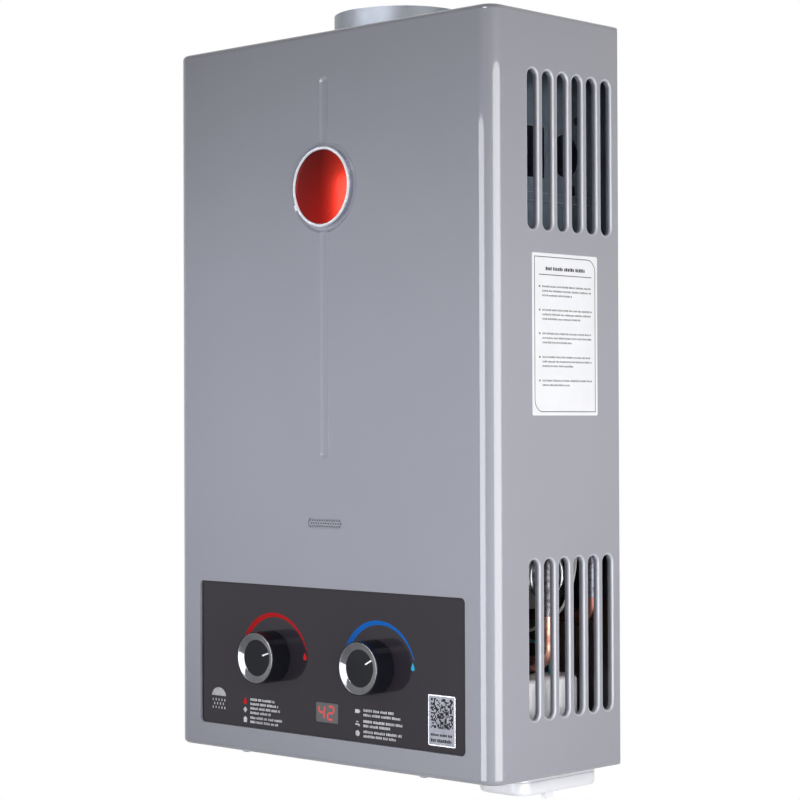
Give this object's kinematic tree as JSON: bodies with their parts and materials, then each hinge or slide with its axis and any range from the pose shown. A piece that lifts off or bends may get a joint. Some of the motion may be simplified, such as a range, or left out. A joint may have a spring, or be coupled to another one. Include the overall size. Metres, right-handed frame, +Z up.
{
  "type": "gas water heater",
  "caption": "Wall-hung gas water heater: grey slotted case, dark panel with rotary knobs and display, flue collar on top, pipe connections and a battery box below.",
  "frame": {"origin": "centre of the four wall fixing holes, on the wall plane", "axes": "+Z up, the front of the case faces -Y, +X to the right of someone facing the front"},
  "size_m": [0.355, 0.1685, 0.63],
  "materials": {
    "grey_paint": "gloss",
    "zinc": "satin",
    "panel_black": "gloss",
    "smoke_lens": "gloss",
    "board_green": "matte",
    "chrome": "polished",
    "badge_red": "gloss",
    "knob_black": "satin",
    "steel": "satin",
    "stainless": "polished",
    "copper": "bright",
    "tinned": "dull",
    "brass": "satin",
    "cast_alloy": "cast",
    "ceramic": "glazed",
    "black_plastic": "matte",
    "rubber": "matte",
    "white_plastic": "satin",
    "grey_plastic": "matte",
    "cell_wrap": "gloss",
    "teal_wire": "satin",
    "pale_wire": "satin",
    "switch_red": "gloss"
  },
  "bodies": {
    "case": {"front_cover": "grey_paint", "back_plate": "zinc", "bottom_plate": "zinc", "cover_screws": "steel", "control_panel": "panel_black", "display_lens": "smoke_lens", "display_module": "board_green", "flame_window": "grey_paint", "badge_ring": "chrome", "badge_dome": "badge_red", "draught_hood": "zinc", "flue_collar": "zinc", "exchanger_shell": "copper", "exchanger_fins": "copper", "exchanger_tubes": "copper", "coil_pipe": "tinned", "return_pipe": "tinned", "burner_tray": "stainless", "burner_blades": "stainless", "chamber_brackets": "zinc", "gas_manifold": "cast_alloy", "injectors": "brass", "spark_electrode": "ceramic", "spark_wire": "pale_wire", "overheat_switch": "black_plastic", "gas_valve": "cast_alloy", "gas_inlet": "brass", "solenoid": "black_plastic", "water_valve": "brass", "diaphragm_cap": "brass", "diaphragm": "rubber", "micro_switch": "black_plastic", "cold_inlet": "brass", "drain_plug": "black_plastic", "feed_pipe": "copper", "hot_pipe": "copper", "hot_outlet": "brass", "control_box": "grey_plastic", "battery_box": "white_plastic", "lid_pin": "steel", "battery_cells": "cell_wrap", "battery_contact": "steel", "battery_wire": "teal_wire", "switch_housing": "black_plastic"},
    "gas_control": {"gas_knob": "knob_black", "gas_knob_bezel": "chrome", "gas_spindle": "steel"},
    "water_control": {"water_knob": "knob_black", "water_knob_bezel": "chrome", "water_spindle": "steel"},
    "lid": {"battery_lid": "white_plastic", "battery_springs": "steel"},
    "rocker": {"power_rocker": "switch_red"},
    "rod": {"push_rod": "steel"},
    "lever": {"switch_lever": "steel"}
  },
  "joints": [
    {"name": "gas_knob_turn", "type": "hinge", "parent": "case", "child": "gas_control", "pos_m": [-0.063, -0.149, -0.21], "axis": [0, -1, 0], "range_deg": [-18, 162]},
    {"name": "water_knob_turn", "type": "hinge", "parent": "case", "child": "water_control", "pos_m": [0.0535, -0.149, -0.21], "axis": [0, -1, 0], "range_deg": [-28, 152]},
    {"name": "battery_lid_swing", "type": "hinge", "parent": "case", "child": "lid", "pos_m": [0.1089, -0.053, -0.2977], "axis": [0, 1, 0], "range_deg": [0, 90]},
    {"name": "power_rocker_tip", "type": "hinge", "parent": "case", "child": "rocker", "pos_m": [-0.008, -0.103, -0.2868], "axis": [0, 1, 0], "range_deg": [0, 16]},
    {"name": "push_rod_slide", "type": "slide", "parent": "case", "child": "rod", "axis": [-1, 0, 0], "range_m": [0, 0.005], "stiffness_N_per_m": 300},
    {"name": "switch_lever_tilt", "type": "hinge", "parent": "case", "child": "lever", "pos_m": [-0.0078, -0.0558, -0.1965], "axis": [0, 1, 0], "range_deg": [0, 20.9]}
  ],
  "couplings": [
    {"joint": "switch_lever_tilt", "follows": "push_rod_slide", "rad_per_m": 72.537}
  ]
}
